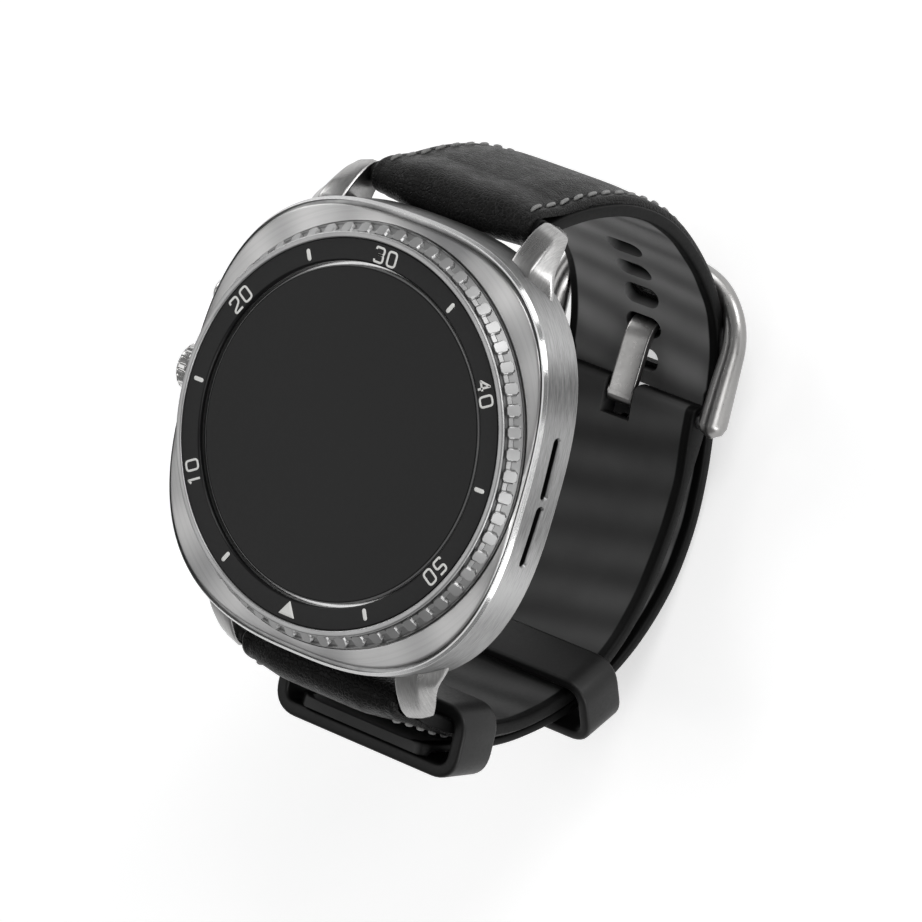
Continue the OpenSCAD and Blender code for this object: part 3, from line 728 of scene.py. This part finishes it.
def build_numerals():
    stroke, wide, tall, gap = 0.23, 1.25, 1.72, 0.8
    parts = []
    for i in range(1, 6):
        for digit, shift in ((i, -gap), (0, gap)):
            for points, corner, closed in DIGITS[digit]:
                line = [(shift + (x - 0.5) * (wide - stroke), (y - 0.5) * (tall - stroke))
                        for x, y in points]
                line = rounded_loop(line, corner, 5) if closed else rounded(line, corner, 5)
                line = turn_points([(x, MARK_R + y) for x, y in line], -i * TAU / 6)
                parts.append(ribbon(line, stroke, 12.5, 12.58, closed))
    numerals = link_mesh("dial_numerals", *join_parts(parts))
    finish_piece(numerals, mark_white, "bezel", ["bezel_numerals"])


def build_ticks():
    half, radius = 0.4, 0.22
    arc = np.linspace(0, math.pi, 9)
    tick = [(radius * math.cos(t), MARK_R + half + radius * math.sin(t)) for t in arc]
    tick += [(-radius * math.cos(t), MARK_R - half - radius * math.sin(t)) for t in arc]
    parts = [pad(tick, -math.radians(60 * i + 30)) for i in range(6)]
    triangle = [(0, MARK_R - 0.85), (1.05, MARK_R + 0.75), (-1.05, MARK_R + 0.75)]
    parts.append(pad(rounded_loop(triangle, 0.12, 4), 0))
    ticks = link_mesh("dial_ticks", *join_parts(parts))
    finish_piece(ticks, mark_white, "bezel", ["bezel_ticks"])


def pad(loop, angle):
    """A thin raised pad with a softened top edge, turned about the display's axis."""
    loop = np.asarray(loop, float)
    centre = loop.mean(0)
    grid = []
    for shrink, z in ((1, 12.5), (1, 12.57), (0.93, 12.6), (0.5, 12.605)):
        ring = turn_points(centre + (loop - centre) * shrink, angle)
        grid.append([(x, y, z) for x, y in ring])
    return grid_mesh(grid, caps=True)


def build_crystal():
    profile = rounded([(0.01, 12.1), (16.86, 12.1), (17.08, 11.97), (17.08, 11.56), (16.4, 11.56),
                       (16.4, 10.9), (0.01, 10.9)], 0.06, 4)
    crystal = link_mesh("crystal_glass", *lathe(profile, 288))
    # The rim mask marks the chamfer for a painted highlight
    paint(crystal, "rim", lambda co: smooth_step(np.hypot(co[:, 0], co[:, 1]), 16.9, 16.98))
    finish_piece(crystal, display_glass, "case", ["crystal"],
                        sharp=30)


# ---- crown and button ----

def build_crown():
    steps, flutes = 288, 24
    angles = np.arange(steps) / steps * TAU
    groove = smooth_step(0.5 - 0.5 * np.cos(angles * flutes), 0.55, 1.0)
    profile = rounded([(0.9, 22.75), (2.4, 22.75), (2.6, 22.9), (2.6, 23.85), (2.42, 24.12),
                       (2.1, 24.22), (1.9, 24.16), (1.7, 24.2), (0.02, 24.26)], 0.12, 4)
    grid = []
    for r, x in profile:
        depth = 0.13 * smooth_step(r, 2.25, 2.5) * (1 - smooth_step(x, 23.95, 24.15))
        ring = r - depth * groove
        grid.append(np.stack([np.full(steps, x), ring * np.cos(angles),
                              SIDE_Z + ring * np.sin(angles)], -1))
    crown = link_mesh("crown_knob", *grid_mesh(grid, caps=True))
    finish_piece(crown, polished_steel, "crown", ["crown_cap"])


def build_button():
    profile = rounded([(0.6, 15.2), (0.6, 21.05), (1.58, 21.1), (1.58, 22.55), (1.4, 22.86),
                       (1.0, 22.95), (0.02, 22.98)], 0.1, 4)
    button = link_mesh("side_button_cap", *lathe(profile, 96, "x", (0, BUTTON_Y, SIDE_Z)))
    finish_piece(button, polished_steel, "side_button",
                        ["side_button"])


# ---- strap ----

def half_width(z, tail):
    """Half width of the strap at a height: full at the lugs, tapering to the buckle and the tip."""
    if not tail:
        return np.interp(z, [-34, 0], [10, 10.8])
    return np.interp(z, [-45, -24, -8.6, -6.2, -5.2], [10, 9.2, 8.7, 8.5, 7.4])


def tail_thickness(u):
    """Thickness of the long strap at a position counted in CAD route steps."""
    return np.where(u < 55, STRAP_T, np.maximum(1.4, STRAP_T - 0.045 * (u - 55)))


def layer(line, width, section, flip):
    """Rings of a strap layer: section(i, half width) gives [x, height off the line] at point i."""
    return np.array([[(x, *(p + n * h)) for x, h in section(i, width[i])]
                     for i, (p, n) in enumerate(zip(line, normals(line) * flip))])


# Distances from a strap's edge where its sections have points
EDGE_STEPS = np.array([0, 0.03, 0.1, 0.2, 0.35, 0.55, 0.8, 1.05, 1.25, 1.35, 1.45, 1.7, 2.2, 3.2,
                       4.6, 6.2, 8])


def across(width):
    """The x of each point across a strap, and its distance from the nearer edge."""
    steps = np.minimum(EDGE_STEPS, width)
    x = np.concatenate([steps - width, (width - steps)[::-1]])
    return x, np.concatenate([steps, steps[::-1]])


def lining_section(low, high, wave):
    """Rubber layer: rounded side edges, and shallow waves on the face that meets the wrist."""
    def section(i, width):
        x, d = across(width)
        edge = 0.35 * (1 - round_over(d, 0.35))
        lower = low[i] + edge + wave[i] * smooth_step(d, 0.6, 2.2)
        upper = high[i] - edge * 0.5
        return list(zip(x, upper)) + list(zip(x[::-1], lower[::-1]))
    return section


def leather_section(high, crown, stitch):
    """Leather layer: turned edge, a groove for the seam and a soft crown between the seams."""
    def section(i, width):
        x, d = across(width)
        edge = 0.25 * high[i] + 0.75 * high[i] * round_over(d, 0.5)
        seam = 0.14 * np.exp(-((d - STITCH_INSET) / 0.2) ** 2) * stitch[i]
        swell = crown[i] * smooth_step(d, 1.2, 5.5)
        upper = edge - seam + swell - 0.12 * (1 - smooth_step(d, 1.0, 1.8))
        return list(zip(x, upper)) + list(zip(x[::-1], np.zeros_like(x)))
    return section


def wrist_face_tone_and_painted_light(co, line, width, flip, tone):
    """Tone of the face that meets the wrist, away from the strap's edges, in soft painted
    reflection bands; a tone below one paints shade over a whole face, and the tip end is lighter.
    """
    normal = normals(line) * flip
    near = np.argmin(((co[:, None, 1:] - line[None]) ** 2).sum(-1), axis=1)
    height = ((co[:, 1:] - line[near]) * normal[near]).sum(-1)
    margin = width[near] - np.abs(co[:, 0])
    # Soft bands of tone along the strap: painted reflections
    reflection_bands = 0.78 + 0.22 * np.sin(TAU * lengths(line)[near] / REFLECTION_BAND_PITCH + 0.22 * co[:, 0])
    face = smooth_step(margin, 1.05, 1.25) * smooth_step(-height, 0.5, 0.75) * reflection_bands * tone
    tip = smooth_step(co[:, 2], -5.5, -5.3) * (co[:, 1] > 29.5)
    return np.maximum(face, 0.25 * tip)


def strap_hole_cutters(name, grow=0.0):
    """Oblong punches through the long strap, evenly spaced along the CAD route."""
    line = spline(LONG_ROUTE, CAD_STEPS)
    run = lengths(line)
    loop = oblong(HOLE_STRAIGHT, HOLE_R + grow)
    parts = []
    for k in HOLES:
        s = run[HOLE_START] + k * HOLE_PITCH
        i = int(np.argmax(run >= s))
        spot = [np.interp(s, run, line[:, 0]), np.interp(s, run, line[:, 1])]
        d = line[i + 1] - line[i - 1]
        d /= np.linalg.norm(d)
        n = np.array([d[1], -d[0]])
        grid = [[(x, *(spot + d * b + n * h)) for x, b in loop] for h in (-2.6, 2.6)]
        parts.append(grid_mesh(grid, caps=True))
    return link_mesh(name, *join_parts(parts))


def build_stitches(name, line, width, height, start, end, flip):
    """Short slanted threads along both edges of a strap, between two lengths along it."""
    run = lengths(line)
    t = np.linspace(-1, 1, 11)
    lift = 0.14 * (1 - t ** 4) - 0.12
    radius = THREAD_R * np.sqrt(np.clip(1 - (np.abs(t) * 0.97) ** 4, 0.03, 1))
    parts = []
    for side in (-1, 1):
        s = start
        while s < end:
            along = s + t * STITCH_HALF
            y, z, w, h = (np.interp(along, run, v) for v in (*line.T, width, height))
            n = normals(np.stack([y, z], -1)) * flip
            x = side * (w - STITCH_INSET) + 0.2 * t
            centre = np.stack([x, y + n[:, 0] * (h + lift), z + n[:, 1] * (h + lift)], -1)
            parts.append(tube(centre, radius, 8))
            s += STITCH_PITCH
    seam = link_mesh(name, *join_parts(parts))
    finish_piece(seam, thread, "case", sharp=80)


def tube(centre, radius, sides, second=None, up=(1.0, 0.0, 0.0)):
    """A tube along a line in space, with the radius along up and a second radius across it."""
    centre = np.asarray(centre, float)
    d = directions(centre)
    up = np.asarray(up, float)
    first_axis = up - d * (d @ up)[:, None]
    first_axis /= np.linalg.norm(first_axis, axis=1)[:, None]
    second_axis = np.cross(d, first_axis)
    second = radius if second is None else second
    a = np.arange(sides) / sides * TAU
    grid = (centre[:, None] + (radius[:, None] * np.cos(a))[..., None] * first_axis[:, None]
            + (second[:, None] * np.sin(a))[..., None] * second_axis[:, None])
    return grid_mesh(grid, caps=True)


# Underside of the leather where it rolls over the spring bar, as [y, z] on the 12 o'clock side
LEATHER_ROLL = [(23.75, 1.6), (23.8, 2.7), (24.2, 3.7), (25.0, 4.12), (25.75, 3.75), (26.3, 2.6),
                (26.62, 0.8)]


def wrap_line(line, flip, high):
    """The leather's underside: round the spring bar from the case side, then along the strap.

    Also gives the first point of the strap's own line in it, and the number of points before.
    """
    start = int(np.argmax(line[:, 1] < -1.5))
    body = line[start:] + normals(line)[start:] * flip * high[start:, None]
    roll = spline([(-flip * y, z) for y, z in LEATHER_ROLL] + [body[0], body[3]], 5)
    roll = roll[:int(np.argmin(np.linalg.norm(roll - body[0], axis=1)))]
    return np.concatenate([roll, body]), start, len(roll)


def leather_skin(name, line, width, high, crown, flip):
    """The leather as a closed skin; its groove for the stitches starts past the spring bar."""
    stitched = smooth_step(lengths(line), 4, 5.2)
    grid = layer(line, width, leather_section(high, crown, stitched), flip)
    return link_mesh(name, *grid_mesh(grid, caps=True))


def bar_eye(half, corner, centre):
    """A short tube round a spring bar that runs along x."""
    outer = BORE_R + 0.4
    profile = rounded([(BORE_R, -half), (outer, -half), (outer, half), (BORE_R, half)], corner, 3)
    return lathe(profile, 40, "x", centre, closed=True)


def build_long_strap():
    line = spline(LONG_ROUTE, ROUTE_STEPS)
    run = lengths(line)
    t = tail_thickness(np.arange(len(line)) * CAD_STEPS / ROUTE_STEPS)
    width = np.array([half_width(z, y > -10) for y, z in line])
    half_t = t / 2 * (0.8 + 0.2 * smooth_step(run[-1] - run, 0, 0.5))
    split = -t / 2 + t * LINING_T / STRAP_T  # where the rubber ends and the leather starts
    high = np.where(run > run[-1] - 1.2, half_t, split)
    wave = 0.11 * np.sin(TAU * run / WAVE_PITCH) * smooth_step(run, 6, 12)
    lining = layer(line, width, lining_section(-half_t, high, wave), 1)
    rubber = link_mesh("long_strap_rubber", *join_parts([
        grid_mesh(lining[3:], caps=True), bar_eye(10.8, 0.1, (0, *LONG_ROUTE[0]))]))
    boolean(rubber, strap_hole_cutters("punches_a"))
    paint(rubber, "wrist_face_tone_and_painted_light", lambda co: wrist_face_tone_and_painted_light(co, line, width, 1, 1.0))
    finish_piece(rubber, lining_rubber, "case", ["long_strap_lining"],
                 sharp=50)

    top, start, lead = wrap_line(line[:-3], 1, split[:-3])
    run = lengths(top)
    high = np.concatenate([np.full(lead, 0.85), (t / 2 - split)[start:-3]])
    high *= 0.55 + 0.45 * smooth_step(run[-1] - run, 0, 0.7)
    width = np.concatenate([np.full(lead, 10.3), width[start:-3] - 0.5])
    crown = 0.08 + 0.5 * (1 - smooth_step(run, 12, 30)) * smooth_step(run, 0, 3.0)
    skin = leather_skin("long_strap_cover", top, width, high, crown, 1)
    boolean(skin, strap_hole_cutters("punches_b", -0.55))
    finish_piece(skin, leather, "case", ["long_strap_leather"], sharp=50)
    build_stitches("long_strap_stitches", top, width, high, 5.4, run[-1] - 3, 1)


def build_short_strap():
    line = spline(SHORT_ROUTE, ROUTE_STEPS)
    run = lengths(line)
    width = np.array([half_width(z, False) for z in line[:, 1]])
    split = -SHORT_T / 2 + LINING_T
    # The rubber swells to a round eye at the hinge, and goes on for a few rings past it
    eye_r = 1.42
    past = np.array([0.4, 0.8, 1.1, 1.3, 1.45, 1.55, 1.6])
    eye_line = np.concatenate([line, line[-1] + directions(line)[-1] * past[:, None]])
    eye_width = np.concatenate([width, np.full(len(past), width[-1])])
    grow = np.concatenate([smooth_step(run, run[-1] - 8, run[-1] - 0.5), np.ones(len(past))])
    end = np.sqrt(np.clip(1 - (np.maximum(past - 0.9, 0) / 0.72) ** 2, 0, 1))
    squeeze = np.concatenate([np.ones(len(run)), end])
    low = ((1 - grow) * -SHORT_T / 2 - grow * eye_r) * squeeze
    high = ((1 - grow) * split + grow * eye_r) * squeeze
    eye_run = lengths(eye_line)
    wave = 0.11 * np.sin(TAU * eye_run / WAVE_PITCH) * smooth_step(eye_run, 6, 12) * (1 - grow)
    lining = layer(eye_line, eye_width, lining_section(low, high, wave), -1)
    rubber = link_mesh("short_strap_rubber", *grid_mesh(lining[3:], caps=True))
    boolean(rubber, tang_notch())
    bore = lathe([(0, -12), (0.83, -12), (0.83, 12), (0, 12)], 32, "x", (0, *HINGE), closed=True)
    boolean(rubber, link_mesh("hinge_bore", *bore))
    # Only 0.27 of the tone on the short strap's face: painted shade
    paint(rubber, "wrist_face_tone_and_painted_light", lambda co: wrist_face_tone_and_painted_light(co, line, width, -1, 0.27))
    finish_piece(rubber, lining_rubber, "case", ["short_strap_lining"],
                 sharp=50)

    cut = 20  # the leather stops this many points before the hinge
    top, start, lead = wrap_line(line[:-cut], -1, np.full(len(line) - cut, split))
    run = lengths(top)
    high = np.interp(run, [0, 6, 12], [0.85, 0.85, SHORT_T - LINING_T])
    high *= 0.3 + 0.7 * smooth_step(run[-1] - run, 0, 1.0)
    width = np.concatenate([np.full(lead, 10.3), width[start:-cut] - 0.5])
    crown = 0.5 * (1 - smooth_step(run, 8, 13)) * smooth_step(run, 0, 3.0)
    skin = leather_skin("short_strap_cover", top, width, high, crown, -1)
    finish_piece(skin, leather, "case", ["short_strap_leather"], sharp=50)
    build_stitches("short_strap_stitches", top, width, high, 6.2, run[-1] - 2, -1)


def tang_notch():
    """A block that cuts room for the tang into the end of the short strap."""
    near, far = HINGE[0] - 3, HINGE[0] + 2.6
    loop = [(-1.95, near), (1.95, near), (1.95, far), (-1.95, far)]
    grid = [[(x, y, z) for x, y in loop] for z in (HINGE[1] - 4, HINGE[1] + 4)]
    return link_mesh("cutter", *grid_mesh(grid, caps=True))


def build_keeper(name, node, body, centre, tilt, half_w, half_t, wall, length):
    """A moulded rubber loop with soft corners."""
    w, t = half_w + wall / 2, half_t + wall / 2
    path = rounded_loop([(w, -t), (w, t), (-w, t), (-w, -t)], 2.3, 9)
    u, v = wall / 2, length / 2
    section = rounded_loop([(-u, -v), (u, -v), (u, v), (-u, v)], 0.42, 4)
    grid = np.array([[(*(p + n * a), b) for a, b in section]
                     for p, n in zip(path, normals(path, closed=True))])
    c, s = math.cos(math.radians(tilt)), math.sin(math.radians(tilt))
    x, y, z = grid[..., 0], grid[..., 1], grid[..., 2]
    grid = np.stack([x, y * c - z * s, y * s + z * c], -1) + np.asarray(centre, float)
    keeper = link_mesh(name, *grid_mesh(grid, close_rows=True))
    finish_piece(keeper, keeper_rubber, body, [node], sharp=60)


# ---- buckle ----

def build_buckle():
    """A bow bent from one rod: thick at both hinge ends, slimmer at the bar under the tang."""
    arm = spline(ARM_ROUTE, 12)
    turn = np.clip(lengths(arm) / 8.5, 0, 1)
    side = np.stack([3.5 + 8.2 * (1 - (1 - turn) ** 2) ** 0.5, *arm.T], -1)[::-1]
    bar = np.array([[x, *ARM_ROUTE[0]] for x in np.linspace(3.5, 0, 8)[1:]])
    half = np.concatenate([side, bar])
    tips = [half[0] + (0, 1.3, -0.02), half[0] + (0, 0.7, -0.01)]
    half = np.concatenate([tips, half])
    rod = np.concatenate([half, (half * [-1, 1, 1])[::-1][1:]])
    run = lengths(rod)
    near = np.minimum(run, run[-1] - run)
    base = 1.1 - 0.14 * (1 - smooth_step(np.abs(rod[:, 0]), 2.5, 5))
    thick = 1 - smooth_step(near, 0, 17)
    cap = round_over(near, 1.5, 0.03)
    buckle = link_mesh("buckle_bow", *tube(rod, (base + 0.6 * thick) * cap, 28,
                                           (base + 0.4 * thick) * cap, up=(0, -0.4, -0.92)))
    finish_piece(buckle, buckle_steel, "buckle",
                        ["buckle_frame"], sharp=70)


def build_tang():
    line = spline(TANG_ROUTE, 8)
    run = lengths(line)
    grid = []
    for p, n, k in zip(line, normals(line), smooth_step(run[-1] - run, 0, 1.2)):
        w, h = 1.65 * (0.75 + 0.25 * k), 0.42 * (0.5 + 0.5 * k)
        section = rounded_loop([(-w, -h), (w, -h), (w, h), (-w, h)], [0, 0.3, 0.3, 0.3, 0.3, 0], 4)
        grid.append([(x, *(p + n * b)) for x, b in section])
    tang = link_mesh("buckle_prong", *join_parts([
        grid_mesh(grid, caps=True), bar_eye(1.65, 0.12, (0, *HINGE))]))
    finish_piece(tang, buckle_steel, "tang", ["buckle_tang"],
                        sharp=60)


# ---- build ----

build_case()
build_lugs()
build_seat_ring()
build_bezel_ring()
build_insert()
build_numerals()
build_ticks()
build_crystal()
build_crown()
build_button()
build_long_strap()
build_short_strap()
build_keeper("tail_keeper", "fixed_keeper", "case", centre=(-0.3, 28.9, -8.6), tilt=-4,
             half_w=10.8, half_t=2.5, wall=1.5, length=5.8)
build_keeper("free_keeper", "loose_keeper", "sliding_keeper", centre=(0, 24.2, -29.5), tilt=-34,
             half_w=11.3, half_t=2.75, wall=1.25, length=5.6)
build_buckle()
build_tang()

# CAD nodes that are shown as they are
NODE_LOOKS = (
    (inner_steel, ["case_back_screws", "vibration_motor", "bezel_snap_wire", "bezel_click_ring",
                   "crown_tube", "crown_spring", "crown_stem", "button_spring", "spring_bar_12",
                   "spring_bar_6", "buckle_spring_bar"]),
    (dark_steel, ["case_back", "speaker_mesh", "button_clip"]),
    (seal_rubber, ["case_back_gasket", "crystal_gasket", "crown_seal", "button_seal"]),
    (inner_plastic, ["inner_frame", "speaker"]),
    (circuit_green, ["main_board", "sensor_board"]),
    (sensor_black, ["sensor_window"]),
    (insert_black, ["display_panel"]),
    (battery_wrap, ["battery"]),
    (copper, ["charging_coil"]),
    (ceramic, ["pressure_sensor"]))
for look, nodes in NODE_LOOKS:
    for node in nodes:
        for material_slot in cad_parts[node].material_slots:
            material_slot.material = look.material


# ---- stage, light and camera ----

def build_stage():
    reach, low_z = 3000, cad_box[0].z / MM
    floor = link_mesh("floor", [(-reach, -reach, low_z), (reach, -reach, low_z),
                                (reach, reach, low_z), (-reach, reach, low_z)], [(0, 1, 2, 3)])
    look = Look("floor_paper", (0.9, 0.9, 0.9), 0.9)
    look.vary_color(look.noise(6, detail=2.0), (0.89, 0.89, 0.89), (0.92, 0.92, 0.92))
    look.set("Emission Color", (1, 1, 1, 1))
    look.set("Emission Strength", 0.42)
    floor.data.materials.append(look.material)


def add_to_scene(name, data, side, up, back, place):
    """A light or camera with the given axes at a place in metres; it looks against back."""
    obj = bpy.data.objects.new(name, data)
    bpy.context.scene.collection.objects.link(obj)
    rows = [[side[i], up[i], back[i], place[i]] for i in range(3)]
    obj.matrix_world = Matrix(rows + [[0, 0, 0, 1]])
    return obj


def softbox(name, position, target, size, power):
    """A rectangular light that points from a position at a target, both in mm; power is in W."""
    light = bpy.data.lights.new(name, "AREA")
    light.shape = "RECTANGLE"
    light.size, light.size_y = size[0] * MM, size[1] * MM
    light.energy = power
    place, aim = np.array(position, float) * MM, np.array(target, float) * MM
    back = place - aim
    back /= np.linalg.norm(back)
    side = np.cross([0, 0, 1], back)
    side /= np.linalg.norm(side)
    add_to_scene(name, light, side, np.cross(back, side), back, place)


def build_light():
    world = bpy.data.worlds.new("studio")
    bpy.context.scene.world = world
    world.use_nodes = True
    background = world.node_tree.nodes["Background"]
    background.inputs["Color"].default_value = (0.9, 0.9, 0.9, 1)
    background.inputs["Strength"].default_value = 0.3
    softbox("key", (-230, -560, 360), (0, 0, -5), (260, 520), 1.7)
    softbox("fill", (-620, 120, 360), (0, 0, -10), (420, 300), 1.0)
    softbox("rim", (600, -330, 260), (0, 0, 0), (300, 300), 1.0)
    softbox("overhead", (350, 100, 560), (0, 0, 0), (380, 380), 0.6)
    softbox("strip_near", (-520, -380, 40), (0, 0, 0), (160, 320), 1.6)
    softbox("strip_far", (-560, 230, 40), (0, 0, 0), (160, 320), 1.2)


def build_camera():
    """The photograph's camera, as fitted to the bezel marks."""
    data = bpy.data.cameras.new("camera")
    data.lens = 244.17
    data.sensor_width = 36
    data.clip_start, data.clip_end = 0.01, 20
    right = (-0.7713228377762666, -0.26776546871992557, -0.5773757300804787)
    up = (0.3047619875296139, -0.9518114427401452, 0.034279854520154196)
    back = (-0.558731787964285, -0.14952134038364565, 0.8157586394811345)
    place = np.array((-361.015, -94.561, 517.084)) * MM
    bpy.context.scene.camera = add_to_scene("camera", data, right, up, back, place)


build_stage()
build_light()
build_camera()
bpy.context.scene.view_settings.view_transform = "Standard"
